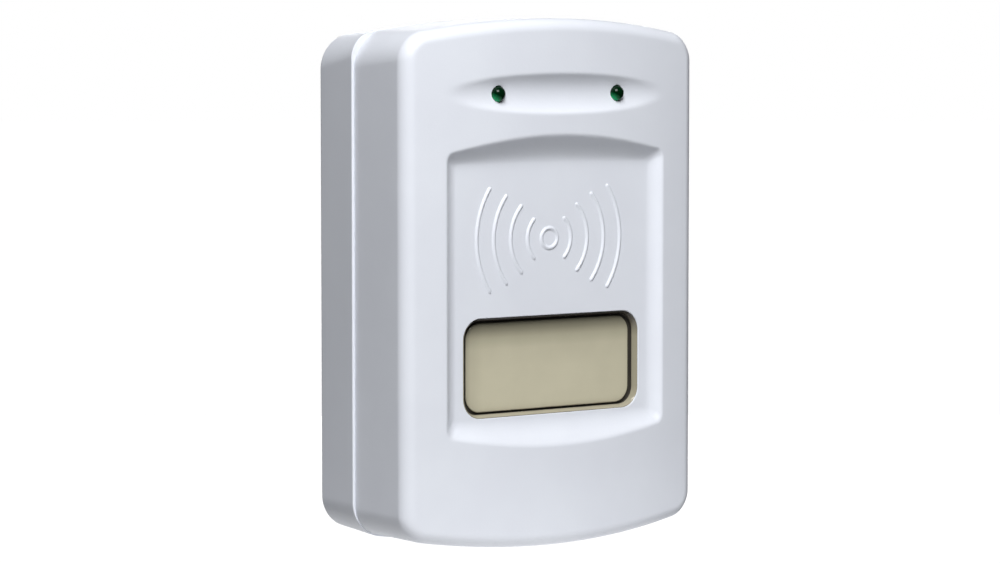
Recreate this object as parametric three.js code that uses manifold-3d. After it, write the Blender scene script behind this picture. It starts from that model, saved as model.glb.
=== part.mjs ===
// Plug-in ultrasonic pest repeller with two indicator lights and a night-light window.
// Millimetres. X is right as seen from the front, +Y points into the wall, +Z is up.
// The origin is the middle of the rear face, which is the wall plane y = 0; the front faces -Y.
import * as THREE from "three";
import { mergeVertices } from "three/addons/utils/BufferGeometryUtils.js";
import Module from "manifold-3d";

// The two shells seen from the front: straight sides, arched top and bottom, rounded corners.
// The rear shell's rim is flush with the front shell at the top and stands proud of it elsewhere,
// most of all at the upper corners, which are sharper in the rim and rounder in the seam.
const arch = { topCurve: 3.4 / 35 ** 2, bottomCurve: 3.4 / 35 ** 2 };
const front = { halfWidth: 34.85, top: 50.7, bottom: -50.6, ...arch };
const frontOutline = { ...front, topCorner: 5, bottomCorner: 4.6 };
const frontSeamOutline = { ...front, topCorner: 6.2, bottomCorner: 4.8 };
const rear = { halfWidth: 35.4, top: 50.7, bottom: -51, ...arch };
const rearOutline = { ...rear, topCorner: 6.4, bottomCorner: 6 };
const rearRimOutline = { ...rear, topCorner: 4.2, bottomCorner: 5.8 };
const wall = 2.0;
const gap = 0.3; // between touching pieces
const seamY = -12.5;
const rimChamfer = 0.15;
const rearDraft = 0.7; // the rear shell is this much narrower at the wall on each side
const rearRadius = 1.0;

// The front face is a cylinder, convex across its width only.
const frontY = -31.9;
const frontRadius = 221;
const frontFillet = 2.5;
const frontThickness = 2.2;

// Recessed panel in the front face, and its floor.
const floorY = -28.8;
const floorOutline = {
  halfWidth: 24.3,
  topCorner: 1.2,
  bottomCorner: 1.2,
  top: 24.8,
  topCurve: 0.8 / 24.3 ** 2,
  bottom: -27.4,
  bottomCurve: 0.6 / 24.3 ** 2,
};
const recessRise = 4; // the recess walls are stated at this height over the floor
const recessOutline = {
  halfWidth: floorOutline.halfWidth + recessRise,
  topCorner: 2,
  bottomCorner: 2,
  top: 29.45,
  topCurve: 2.65 / 28.3 ** 2,
  bottom: -32.05,
  bottomCurve: 1.45 / 28.3 ** 2,
};

// Indicator lights lie in a shallow horizontal groove cut by a cylinder.
const groove = { radius: 5.85, y: -36.35, z: 36.35, halfLength: 30 };
const led = { x: 14.23, z: 36.35, radius: 1.5, hole: 1.65, tipY: -31.9, backY: -24.6 };

// Night-light window in the recess floor, and the stack behind it.
const windowMiddleZ = -15.75;
const windowHalf = { width: 21.1, height: 9.55, corner: 4 };
const flangeGrow = 1.3; // the lens flange is this much larger than the window on each side
const lensY = { front: -28.7, pane: -27.55, groove: -27, flange: -27.1, back: -26.3 };
const lensRim = 0.6; // how far the rim slopes in from the window's edge
const paneHalf = { width: 19.6, height: 8.5, corner: 3.2 };
const panelY = { front: -26.0, back: -25.4 };
const gasketY = { front: -26.0, back: -25.2 };
const retainerY = { front: -24.9, back: -23.4 };
const panelBoss = { x: 25.2, radius: 2.0, endY: -25.2, hole: 1.15 };

// Circuit board and what holds it.
const board = { halfWidth: 28, bottom: -37, shoulder: 36.8, neck: 23.5, top: 40.5 };
const boardY = { front: -9.9, back: -8.3 };
const partY = boardY.front - gap; // parts on the board start here
const boardScrewAt = { x: 24.5, z: 33.5 };
const housingScrewAt = { x: 28, z: 41 };

// Plug blades of the two-blade 120 V plug.
const blade = { x: 6.35, z: 14, thickness: 1.5, width: 6.35, length: 17.5, holeAt: 11.9 };

// Transducer, facing down through slots in the bottom wall.
const transducer = { y: -19.8, radius: 8, mouthZ: -46.0, backZ: -36.5 };
const slots = { count: 7, pitch: 2.6, width: 1.3, fromY: -26, toY: -14.8 };

// Night-light switch on the right-hand side.
const slider = { travel: 2, y: -17.2, half: 1.6, lowZ: 2.0, highZ: 5.5, tipX: 34.4 };

const wasm = await Module();
wasm.setup();

// ---- solids -------------------------------------------------------------------------------

// A closed geometry as a manifold solid, which can be cut and joined.
function solid(geometry) {
  const flat = geometry.index ? geometry.toNonIndexed() : geometry;
  const bare = new THREE.BufferGeometry();
  bare.setAttribute("position", flat.getAttribute("position"));
  const merged = mergeVertices(bare, 1e-4);
  return new wasm.Manifold(
    new wasm.Mesh({
      numProp: 3,
      vertProperties: merged.getAttribute("position").array,
      triVerts: new Uint32Array(merged.index.array),
    }),
  );
}

function geometryOf(body) {
  const mesh = body.getMesh();
  const geometry = new THREE.BufferGeometry();
  const points = new Float32Array(mesh.vertProperties);
  geometry.setAttribute("position", new THREE.BufferAttribute(points, 3));
  geometry.setIndex(new THREE.BufferAttribute(new Uint32Array(mesh.triVerts), 1));
  return geometry;
}

function join(...bodies) {
  return bodies.reduce((a, b) => a.add(b));
}

function cut(body, ...tools) {
  return tools.reduce((a, b) => a.subtract(b), body);
}

function block([x0, x1], [y0, y1], [z0, z1]) {
  const size = [Math.abs(x1 - x0), Math.abs(y1 - y0), Math.abs(z1 - z0)];
  const box = new THREE.BoxGeometry(...size);
  box.translate((x0 + x1) / 2, (y0 + y1) / 2, (z0 + z1) / 2);
  return solid(box);
}

// A cylinder from start to end along Y, at (x, z).
function rod(radius, [start, end], x = 0, z = 0, sides = 16) {
  const body = new THREE.CylinderGeometry(radius, radius, end - start, sides);
  body.translate(x, (start + end) / 2, z);
  return solid(body);
}

// The same along Z, at (x, y), and along X, at (y, z).
function upright(radius, [start, end], x = 0, y = 0, sides = 24) {
  const body = new THREE.CylinderGeometry(radius, radius, end - start, sides);
  body.rotateX(Math.PI / 2);
  body.translate(x, y, (start + end) / 2);
  return solid(body);
}

function crosswise(radius, [start, end], y = 0, z = 0, sides = 24) {
  const body = new THREE.CylinderGeometry(radius, radius, end - start, sides);
  body.rotateZ(Math.PI / 2);
  body.translate((start + end) / 2, y, z);
  return solid(body);
}

// A round wire through a few points.
function wire(points, radius, steps = 14, sides = 8) {
  const path = new THREE.CatmullRomCurve3(points.map((p) => new THREE.Vector3(...p)));
  const section = new THREE.Shape().absarc(0, 0, radius, 0, 2 * Math.PI);
  const options = { steps, curveSegments: sides / 2, extrudePath: path };
  return solid(new THREE.ExtrudeGeometry(section, options));
}

// ---- lofted outlines ----------------------------------------------------------------------

const cornerSteps = 5;
const archSteps = 12;

// Left-to-right places across an outline, closest together where its corners turn.
function stations(halfWidth, corner) {
  const straight = halfWidth - corner;
  const turn = [];
  for (let i = 0; i <= cornerSteps; i++) {
    turn.push(straight + corner * Math.cos(((i / cornerSteps) * Math.PI) / 2));
  }
  const middle = [];
  for (let i = 1; i < archSteps; i++) middle.push(straight * ((2 * i) / archSteps - 1));
  return [...turn.map((x) => -x), ...middle, ...turn.reverse()];
}

// An outline at a depth, which is a number or a function of x: top edge from left to right,
// then bottom edge from right to left. Its curves are how fast the edges fall away from x = 0.
function ring(outline, depth) {
  const { halfWidth, topCorner, bottomCorner, top, bottom } = outline;
  const { topCurve = 0, bottomCurve = 0 } = outline;
  const turned = (x, corner) => {
    const beyond = Math.min(Math.max(Math.abs(x) - halfWidth + corner, 0), corner);
    return corner - Math.sqrt(corner ** 2 - beyond ** 2);
  };
  const yAt = (x) => (typeof depth === "function" ? depth(x) : depth);
  const xs = stations(halfWidth, Math.max(topCorner, bottomCorner));
  const upper = xs.map((x) => [x, yAt(x), top - topCurve * x * x - turned(x, topCorner)]);
  const lower = xs.map((x) => {
    return [x, yAt(x), bottom + bottomCurve * x * x + turned(x, bottomCorner)];
  });
  return [...upper, ...lower.reverse()];
}

// The solid through a row of rings, given from the wall side to the front.
// Its ends are closed by upright strips, so they may be curved across.
function loft(rings) {
  const count = rings[0].length;
  const points = rings.flat(2);
  const faces = [];
  for (let r = 0; r + 1 < rings.length; r++) {
    for (let i = 0; i < count; i++) {
      const a = r * count + i;
      const b = r * count + ((i + 1) % count);
      faces.push(a, a + count, b, b, a + count, b + count);
    }
  }
  const front = (rings.length - 1) * count;
  for (let i = 0; i + 1 < count / 2; i++) {
    const [t0, t1, m0, m1] = [i, i + 1, count - 1 - i, count - 2 - i];
    faces.push(t0, t1, m0, t1, m1, m0);
    faces.push(front + t0, front + m0, front + t1, front + t1, front + m0, front + m1);
  }
  const geometry = new THREE.BufferGeometry();
  geometry.setAttribute("position", new THREE.Float32BufferAttribute(points, 3));
  geometry.setIndex(faces);
  return solid(geometry);
}

// An outline moved in by a distance on every side.
function inset(outline, distance) {
  return {
    ...outline,
    halfWidth: outline.halfWidth - distance,
    topCorner: outline.topCorner - distance,
    bottomCorner: outline.bottomCorner - distance,
    top: outline.top - distance,
    bottom: outline.bottom + distance,
  };
}

// An outline with one radius at all its corners, round the window's middle.
function roundedBox({ width, height, corner }) {
  return {
    halfWidth: width,
    topCorner: corner,
    bottomCorner: corner,
    top: windowMiddleZ + height,
    bottom: windowMiddleZ - height,
  };
}

function windowOutline(grow) {
  return roundedBox({
    width: windowHalf.width + grow,
    height: windowHalf.height + grow,
    corner: windowHalf.corner + Math.min(grow, 0),
  });
}

const frontDepth = (x) => frontY + (x * x) / (2 * frontRadius);

// Four corners, named by side and end.
function corners({ x, z }) {
  return [
    ["upper_left", -x, z],
    ["upper_right", x, z],
    ["lower_left", -x, -z],
    ["lower_right", x, -z],
  ];
}

// ---- housing ------------------------------------------------------------------------------

function frontShell() {
  const filletRings = [];
  const filletSteps = 4;
  for (let i = 0; i <= filletSteps; i++) {
    const turn = ((i / filletSteps) * Math.PI) / 2;
    const outline = inset(frontOutline, frontFillet * (1 - Math.cos(turn)));
    const back = frontFillet * (1 - Math.sin(turn));
    filletRings.push(ring(outline, (x) => frontDepth(x) + back));
  }
  const outer = loft([ring(frontSeamOutline, seamY), ...filletRings]);

  const innerFace = (x) => frontDepth(x) + frontThickness;
  const hollow = loft([
    ring(inset(frontOutline, wall), seamY + 1),
    ring(inset(frontOutline, wall), (x) => innerFace(x) + 0.8),
    ring(inset(frontOutline, wall + 0.8), innerFace),
  ]);
  const behindRecess = block([-27.2, 27.2], [-40, floorY + wall], [-32.5, 29.8]);
  const behindGroove = block([-26.5, 26.5], [-40, -27.6], [30.5, 42.2]);
  const inside = cut(hollow, behindRecess, behindGroove);

  const recess = loft([
    ring(floorOutline, floorY),
    ring(recessOutline, floorY - recessRise),
  ]);
  const grooveCut = crosswise(
    groove.radius,
    [-groove.halfLength, groove.halfLength],
    groove.y,
    groove.z,
    48,
  );
  const windowCut = loft([ring(windowOutline(0), -26), ring(windowOutline(0), -30)]);
  const flangeRebate = loft([
    ring(windowOutline(flangeGrow + gap), -26),
    ring(windowOutline(flangeGrow + gap), lensY.flange - gap),
  ]);
  let shell = cut(outer, inside, recess, grooveCut, windowCut, flangeRebate);
  for (const x of [-led.x, led.x]) shell = cut(shell, rod(led.hole, [-32, -26], x, led.z));

  for (let i = 0; i < slots.count; i++) {
    const x = (i - (slots.count - 1) / 2) * slots.pitch;
    const across = [x - slots.width / 2, x + slots.width / 2];
    shell = cut(shell, block(across, [slots.fromY, slots.toY], [-52, -48]));
  }
  const reach = [slider.y - slider.half - 0.4, slider.y + slider.half + 0.4];
  const height = [slider.lowZ - gap, slider.highZ + slider.travel + gap];
  shell = cut(shell, block([32, 36], reach, height));

  for (const [, x, z] of corners(housingScrewAt)) {
    shell = join(shell, rod(3, [-29, -8.8], x, z));
    shell = cut(shell, rod(1.4, [-18, -8], x, z, 12));
  }
  for (const x of [-panelBoss.x, panelBoss.x]) {
    shell = join(shell, rod(panelBoss.radius, [-27, panelBoss.endY], x, windowMiddleZ));
    shell = cut(shell, rod(panelBoss.hole, [-27.6, -25], x, windowMiddleZ, 12));
  }
  for (const x of [-10.3, 10.3]) {
    shell = join(shell, block([x - 0.7, x + 0.7], [-29.9, -15], [-48.7, -40]));
  }
  return shell;
}

function rearShell() {
  const outer = loft([
    ring(inset(rearOutline, rearDraft + rearRadius), 0),
    ring(inset(rearOutline, rearDraft + rearRadius * 0.3), -rearRadius * 0.3),
    ring(inset(rearOutline, rearDraft), -rearRadius),
    ring(rearRimOutline, seamY + rimChamfer),
    ring(inset(rearRimOutline, rimChamfer), seamY),
  ]);
  const inside = loft([
    ring(inset(rearOutline, wall + rearDraft), -wall),
    ring(inset(rearOutline, wall), seamY - 1),
  ]);
  // A tongue inside the rim fits into the front shell.
  const foot = inset(rearOutline, wall - 0.5);
  const outside = inset(frontOutline, wall + gap);
  const bore = inset(outside, 0.8);
  const tongue = cut(
    join(
      loft([ring(foot, -8.9), ring(foot, -12.3)]),
      loft([ring(outside, -12.2), ring(outside, -14.5)]),
    ),
    loft([ring(bore, -8), ring(bore, -15)]),
  );
  let shell = join(cut(outer, inside), tongue);
  for (const [, x, z] of corners(housingScrewAt)) {
    shell = join(shell, rod(3.4, [-8.5, -1.5], x, z));
    shell = cut(shell, rod(2.6, [-6.5, 1], x, z), rod(1.4, [-9, -6], x, z, 12));
  }
  for (const [, x, z] of corners(boardScrewAt)) {
    shell = join(shell, rod(2.6, [boardY.back + gap, -1.5], x, z));
    shell = cut(shell, rod(1.2, [-8.5, -3], x, z, 12));
  }
  for (const x of [-11, 11]) {
    shell = join(shell, rod(2, [-4.5, -1.5], x, blade.z));
    shell = cut(shell, rod(1.1, [-5, -2.4], x, blade.z, 12));
  }
  const slotHalf = { x: blade.thickness / 2 + gap, z: blade.width / 2 + gap };
  for (const x of [-blade.x, blade.x]) {
    const across = [x - slotHalf.x, x + slotHalf.x];
    const up = [blade.z - slotHalf.z, blade.z + slotHalf.z];
    shell = cut(shell, block(across, [-3, 1], up));
  }
  return cut(shell, block([-22, 22], [-0.8, 1], [-34, -10]));
}

// A pan-head screw along Y with a cross recess, its driven end at the origin.
// direction is +1 when it is driven from the front and -1 when it is driven from the wall side.
function screw({ head, headHeight, shank, length, direction }) {
  const points = [
    [0, 0],
    [head * 0.7, 0],
    [head, headHeight * 0.45],
    [head, headHeight],
    [shank, headHeight],
    [shank, headHeight + length - shank],
    [0, headHeight + length],
  ];
  const profile = points.map(([r, y]) => new THREE.Vector2(r, y));
  const body = solid(new THREE.LatheGeometry(profile, 12));
  const reach = head * 0.55;
  const bar = headHeight * 0.14;
  const cross = join(
    block([-reach, reach], [-1, headHeight * 0.5], [-bar, bar]),
    block([-bar, bar], [-1, headHeight * 0.5], [-reach, reach]),
  );
  const made = geometryOf(cut(body, cross));
  if (direction < 0) made.rotateX(Math.PI);
  return made;
}

// ---- window, lights -----------------------------------------------------------------------

// A beige diffuser: a flat pane set back inside a sloping rim, with a narrow groove between
// them and a flange behind the shell.
function windowLens() {
  const outside = join(
    loft([
      ring(windowOutline(flangeGrow), lensY.back),
      ring(windowOutline(flangeGrow), lensY.flange),
    ]),
    loft([
      ring(windowOutline(-gap), lensY.flange + 0.1),
      ring(windowOutline(-gap), lensY.front),
    ]),
  );
  const rimSlope = loft([
    ring(windowOutline(-gap - lensRim), lensY.pane),
    ring(windowOutline(-gap - 0.1), lensY.front),
    ring(windowOutline(-gap - 0.1), lensY.front - 1),
  ]);
  const pane = roundedBox(paneHalf);
  const groove = cut(
    loft([
      ring(windowOutline(-gap - lensRim), lensY.groove),
      ring(windowOutline(-gap - lensRim), lensY.pane - 0.2),
    ]),
    loft([ring(pane, -26), ring(pane, -29)]),
  );
  return cut(outside, rimSlope, groove);
}

function panelGasket() {
  return cut(
    loft([
      ring(windowOutline(flangeGrow), gasketY.back),
      ring(windowOutline(flangeGrow), gasketY.front),
    ]),
    loft([ring(windowOutline(-0.5), -24), ring(windowOutline(-0.5), -27)]),
  );
}

function nightLightPanel() {
  return loft([ring(windowOutline(-0.8), panelY.back), ring(windowOutline(-0.8), panelY.front)]);
}

const panelLeadAt = { x: 3, z: -22 };

function panelRetainer() {
  const outline = { ...windowOutline(flangeGrow), halfWidth: 27.4, topCorner: 2, bottomCorner: 2 };
  let plate = loft([ring(outline, retainerY.back), ring(outline, retainerY.front)]);
  for (const x of [-panelBoss.x, panelBoss.x]) {
    plate = cut(plate, rod(1.3, [-26, -22], x, windowMiddleZ, 12));
  }
  for (const x of [-panelLeadAt.x, panelLeadAt.x]) {
    plate = cut(plate, rod(1.1, [-26, -22], x, panelLeadAt.z, 12));
  }
  return plate;
}

function indicatorLamp() {
  const profile = [new THREE.Vector2(0, led.tipY)];
  const domeSteps = 5;
  for (let i = 1; i <= domeSteps; i++) {
    const turn = ((i / domeSteps) * Math.PI) / 2;
    const y = led.tipY + led.radius * (1 - Math.cos(turn));
    profile.push(new THREE.Vector2(led.radius * Math.sin(turn), y));
  }
  profile.push(new THREE.Vector2(led.radius, led.backY - 1));
  profile.push(new THREE.Vector2(1.9, led.backY - 1));
  profile.push(new THREE.Vector2(1.9, led.backY));
  profile.push(new THREE.Vector2(0, led.backY));
  return solid(new THREE.LatheGeometry(profile, 16));
}

function lampSpacer() {
  const span = [led.backY + gap, partY];
  return cut(rod(2.6, span), rod(1.9, [-26, -9]));
}

// ---- circuit board and its parts ----------------------------------------------------------

function mainBoard() {
  const { halfWidth, bottom, shoulder, neck, top } = board;
  const shape = new THREE.Shape();
  shape.moveTo(-halfWidth, bottom);
  shape.lineTo(halfWidth, bottom);
  shape.lineTo(halfWidth, shoulder);
  shape.lineTo(neck, shoulder);
  shape.lineTo(neck, top);
  shape.lineTo(-neck, top);
  shape.lineTo(-neck, shoulder);
  shape.lineTo(-halfWidth, shoulder);
  shape.closePath();
  const thickness = boardY.back - boardY.front;
  const slab = new THREE.ExtrudeGeometry(shape, { depth: thickness, bevelEnabled: false });
  slab.rotateX(Math.PI / 2);
  slab.translate(0, boardY.back, 0);
  let made = solid(slab);
  for (const [, x, z] of corners(boardScrewAt)) {
    made = cut(made, rod(1.3, [-11, -7], x, z, 12));
  }
  for (const x of [-blade.x, blade.x]) {
    made = cut(made, block([x - 1.05, x + 1.05], [-11, -7], [blade.z - 1.8, blade.z + 1.8]));
  }
  for (const side of [-led.x, led.x]) {
    for (const lead of [-1.27, 1.27]) {
      made = cut(made, rod(0.65, [-11, -7], side + lead, led.z, 8));
    }
  }
  return made;
}

// A can standing on the board, with a crimp near its foot.
function can(radius, height) {
  const points = [
    [0, 0],
    [radius, 0],
    [radius, 1],
    [radius - 0.35, 1.5],
    [radius, 2],
    [radius, height - 0.5],
    [radius - 0.5, height],
    [0, height],
  ];
  const profile = points.map(([r, y]) => new THREE.Vector2(r, -y)).reverse();
  return solid(new THREE.LatheGeometry(profile, 24));
}

function chip() {
  let made = block([-4.9, 4.9], [-3.9, -0.8], [-3.1, 3.1]);
  for (let i = 0; i < 4; i++) {
    const x = (i - 1.5) * 2.54;
    const across = [x - 0.3, x + 0.3];
    made = join(made, block(across, [-2.4, -2.1], [-3.75, 3.75]));
    for (const z of [-3.6, 3.6]) {
      made = join(made, block(across, [-2.4, 0], [z - 0.15, z + 0.15]));
    }
  }
  return made;
}

function transistor() {
  const head = cut(rod(2.3, [-6.6, -2]), block([-3, 3], [-7, -1], [1.5, 3]));
  const legs = [-1.27, 0, 1.27].map((x) => block([x - 0.22, x + 0.22], [-2.2, 0], [-0.22, 0.22]));
  return join(head, ...legs);
}

function resistor() {
  const points = [
    [0, -6],
    [0.35, -6],
    [0.35, -3.3],
    [1.25, -2.9],
    [1.25, -1.9],
    [1.05, -1.6],
    [1.05, 1.6],
    [1.25, 1.9],
    [1.25, 2.9],
    [0.35, 3.3],
    [0.35, 6],
    [0, 6],
  ];
  const profile = points.map(([r, y]) => new THREE.Vector2(r, y));
  const body = new THREE.LatheGeometry(profile, 10);
  body.rotateZ(Math.PI / 2);
  return solid(body);
}

const coil = { flange: 5.6, half: 5.4, wall: 0.8, barrel: 4.2, bore: 3.6, windingRadius: 5.4 };

function transformerBobbin() {
  const square = [-coil.flange, coil.flange];
  const inner = coil.half - coil.wall;
  return cut(
    join(
      upright(coil.barrel, [-coil.half, coil.half]),
      block(square, square, [inner, coil.half]),
      block(square, square, [-coil.half, -inner]),
    ),
    upright(coil.bore, [-6, 6]),
  );
}

function transformerWinding() {
  const inner = coil.half - coil.wall - gap;
  return cut(
    upright(coil.windingRadius, [-inner, inner]),
    upright(coil.barrel + gap, [-6, 6]),
  );
}

function transformerCore() {
  const frame = block([-8.4, 8.4], [-2.5, 2.5], [-7.9, 7.9]);
  const holes = [
    [-5.95, -2.1],
    [2.1, 5.95],
  ];
  return cut(frame, ...holes.map((across) => block(across, [-3, 3], [-5.8, 5.8])));
}

// ---- transducer ---------------------------------------------------------------------------

function transducerCase() {
  const { radius, mouthZ, backZ } = transducer;
  return cut(
    upright(radius, [mouthZ, backZ]),
    upright(radius - 0.8, [mouthZ + 0.8, backZ + 1]),
    upright(radius - 1.6, [mouthZ - 1, mouthZ + 1]),
  );
}

function transducerCone() {
  const points = [
    [0, 0],
    [5.6, -3],
    [5.6, -2.4],
    [1.6, 0.6],
    [6.4, 0.9],
    [6.4, 1.9],
    [0, 1.9],
  ];
  const profile = points.map(([r, z]) => new THREE.Vector2(r, z));
  const body = new THREE.LatheGeometry(profile, 24);
  body.rotateX(Math.PI / 2);
  return solid(body);
}

function transducerBase() {
  const pins = [-2.5, 2.5].map((x) => upright(0.5, [0.5, 3], x, 0, 8));
  return join(upright(7.7, [0, 1.2]), ...pins);
}

function transducerGrommet() {
  return cut(
    join(upright(9, [-46.3, -43]), upright(8.8, [-43.5, -42])),
    upright(transducer.radius + gap, [-47, -41]),
  );
}

// ---- plug ---------------------------------------------------------------------------------

function plugBlade() {
  const half = blade.width / 2;
  const bevel = 1.2;
  const shape = new THREE.Shape();
  shape.moveTo(-11.4, -1.5);
  shape.lineTo(-4.5, -1.5);
  shape.lineTo(-4.5, -5);
  shape.lineTo(-2.3, -5);
  shape.lineTo(-2.3, -half);
  shape.lineTo(blade.length - bevel, -half);
  shape.lineTo(blade.length, -half + bevel);
  shape.lineTo(blade.length, half - bevel);
  shape.lineTo(blade.length - bevel, half);
  shape.lineTo(-2.3, half);
  shape.lineTo(-2.3, 5);
  shape.lineTo(-4.5, 5);
  shape.lineTo(-4.5, 1.5);
  shape.lineTo(-11.4, 1.5);
  shape.closePath();
  shape.holes.push(new THREE.Path().absarc(blade.holeAt, 0, 1.6, 0, 2 * Math.PI, true));
  const made = new THREE.ExtrudeGeometry(shape, {
    depth: blade.thickness,
    bevelEnabled: false,
    curveSegments: 6,
  });
  made.translate(0, 0, -blade.thickness / 2);
  // The shape's own x becomes depth and its y becomes height.
  made.applyMatrix4(
    new THREE.Matrix4().makeBasis(
      new THREE.Vector3(0, 1, 0),
      new THREE.Vector3(0, 0, 1),
      new THREE.Vector3(1, 0, 0),
    ),
  );
  return solid(made);
}

function bladeRetainer() {
  let plate = block([-14, 14], [-6.6, -4.8], [-6.5, 6.5]);
  for (const x of [-blade.x, blade.x]) {
    plate = cut(plate, block([x - 1.05, x + 1.05], [-8, -4], [-1.8, 1.8]));
  }
  for (const x of [-11, 11]) plate = cut(plate, rod(1.3, [-8, -4], x, 0, 12));
  return plate;
}

// ---- night-light switch -------------------------------------------------------------------

const cavity = { x: [24.5, 30], z: [-0.3, 9.8] };

function switchCase() {
  const tall = [slider.y - slider.half - 0.4, slider.y + slider.half + 0.4];
  const mouth = [slider.lowZ - gap, slider.highZ + slider.travel + gap];
  return cut(
    block([22, 31.2], [tall[0] - 1, partY], [cavity.z[0] - 1.2, cavity.z[1] + 1.2]),
    block(cavity.x, tall, cavity.z),
    block([29, 32], tall, mouth),
  );
}

function switchSlider() {
  const depth = [slider.y - slider.half, slider.y + slider.half];
  const stem = block([28, slider.tipX], depth, [slider.lowZ, slider.highZ]);
  const foot = block([24.9, 29.6], depth, [cavity.z[0] + gap, cavity.z[1] - slider.travel - gap]);
  let made = join(stem, foot);
  for (const z of [-1, 0, 1]) {
    const middle = (slider.lowZ + slider.highZ) / 2 + z;
    made = cut(made, block([slider.tipX - 0.3, 36], [-20, -14], [middle - 0.22, middle + 0.22]));
  }
  return made;
}

// ---- assembly -----------------------------------------------------------------------------

function finish(color, roughness, metalness = 0) {
  return new THREE.MeshStandardMaterial({ color, roughness, metalness });
}

const white = finish(0xe6e8ee, 0.5);
const offWhite = finish(0xd9dade, 0.6);
const lensBeige = finish(0xb8b29b, 0.12);
const beige = finish(0xb8b29b, 0.55);
const black = finish(0x1b1b1c, 0.7);
const green = finish(0x0b4a2a, 0.15);
const steel = finish(0xb9bcc0, 0.35, 1);
const brass = finish(0xd0b468, 0.3, 1);
const tin = finish(0xc9cccd, 0.4, 1);
const boardGreen = finish(0x2f6a3c, 0.5);
const filmYellow = finish(0xd9b33a, 0.5);
const sleeveBlue = finish(0x24365f, 0.45);
const ceramicBlue = finish(0x2c62b4, 0.5);
const copper = finish(0xb06a35, 0.35, 0.8);
const ferrite = finish(0x3a3a3e, 0.75);
const aluminium = finish(0xc4c6c8, 0.35, 1);
const tan = finish(0xc9a878, 0.6);
const redSleeve = finish(0xa83028, 0.5);
const paper = finish(0xdfe0e2, 0.6);

const root = new THREE.Group();

function add(group, name, body, material, [x, y, z] = [0, 0, 0]) {
  const geometry = body.isBufferGeometry ? body : geometryOf(body);
  const mesh = new THREE.Mesh(geometry, material);
  mesh.name = name;
  mesh.position.set(x, y, z);
  group.add(mesh);
  return mesh;
}

function housing() {
  const group = new THREE.Group();
  add(group, "front_shell", frontShell(), white);
  add(group, "rear_shell", rearShell(), white);
  const made = screw({ head: 2.3, headHeight: 1.6, shank: 1.1, length: 10.5, direction: -1 });
  for (const [place, x, z] of corners(housingScrewAt)) {
    add(group, `housing_screw_${place}`, made, steel, [x, -4.6, z]);
  }
  add(group, "rating_label", block([-21.5, 21.5], [-0.5, -0.2], [-33.5, -10.5]), paper);
  return group;
}

function nightLight() {
  const group = new THREE.Group();
  add(group, "window_lens", windowLens(), lensBeige);
  add(group, "panel_gasket", panelGasket(), black);
  add(group, "night_light_panel", nightLightPanel(), beige);
  add(group, "panel_retainer", panelRetainer(), offWhite);
  const made = screw({ head: 2, headHeight: 1.2, shank: 0.9, length: 3.9, direction: -1 });
  for (const [side, sign] of [["left", -1], ["right", 1]]) {
    const at = [sign * panelBoss.x, retainerY.back + gap + 1.2, windowMiddleZ];
    add(group, `panel_screw_${side}`, made, steel, at);
    const x = sign * panelLeadAt.x;
    const route = [
      [x, panelY.back + gap, panelLeadAt.z],
      [x, -22.5, panelLeadAt.z],
      [x * 1.4, -17, panelLeadAt.z - 3],
      [x * 1.5, -12, panelLeadAt.z - 4],
      [x * 1.5, partY, panelLeadAt.z - 4],
    ];
    add(group, `panel_lead_${side}`, wire(route, 0.5), redSleeve);
  }
  return group;
}

function indicators() {
  const group = new THREE.Group();
  for (const [side, sign] of [["left", -1], ["right", 1]]) {
    const at = [sign * led.x, 0, led.z];
    add(group, `led_${side}`, indicatorLamp(), green, at);
    add(group, `led_spacer_${side}`, lampSpacer(), offWhite, at);
    for (const [pole, shift] of [["anode", -1.27], ["cathode", 1.27]]) {
      const lead = rod(0.28, [led.backY + gap, -7.9], 0, 0, 6);
      add(group, `led_${side}_${pole}`, lead, tin, [at[0] + shift, 0, led.z]);
    }
  }
  return group;
}

function electronics() {
  const group = new THREE.Group();
  add(group, "main_board", mainBoard(), boardGreen);
  const made = screw({ head: 2.6, headHeight: 1.5, shank: 0.9, length: 5.6, direction: 1 });
  for (const [place, x, z] of corners(boardScrewAt)) {
    add(group, `board_screw_${place}`, made, steel, [x, partY - 1.5, z]);
  }
  add(group, "fuse", upright(2.5, [-9, 9], 0, 0, 16), tan, [-23.5, partY - 2.8, 17]);
  add(group, "varistor", crosswise(5, [-1.75, 1.75]), ceramicBlue, [-17.2, partY - 5.4, 22]);
  const film = block([-8.5, 8.5], [-13, 0], [-4.5, 4.5]);
  add(group, "x2_capacitor", film, filmYellow, [-4.5, partY, 25]);
  add(group, "filter_capacitor", can(5, 13.3), sleeveBlue, [11.5, partY, 25]);
  add(group, "output_capacitor", can(4, 11.3), sleeveBlue, [22, partY, 19]);
  const bridge = block([-4.25, 4.25], [-3.6, 0], [-3.2, 3.2]);
  add(group, "bridge_rectifier", bridge, black, [14.2, partY, 11]);
  add(group, "oscillator_chip", chip(), black, [1, partY, -3]);
  add(group, "drive_transistor", transistor(), black, [13, partY, -2]);
  for (const [name, z] of [["timing_resistor", -11], ["drive_resistor", -15.5]]) {
    add(group, name, resistor(), tan, [2, partY - 1.6, z]);
  }
  const at = [-17, partY - 5.9, -3];
  add(group, "transformer_bobbin", transformerBobbin(), black, at);
  add(group, "transformer_winding", transformerWinding(), copper, at);
  add(group, "transformer_core", transformerCore(), ferrite, at);
  return group;
}

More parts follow.
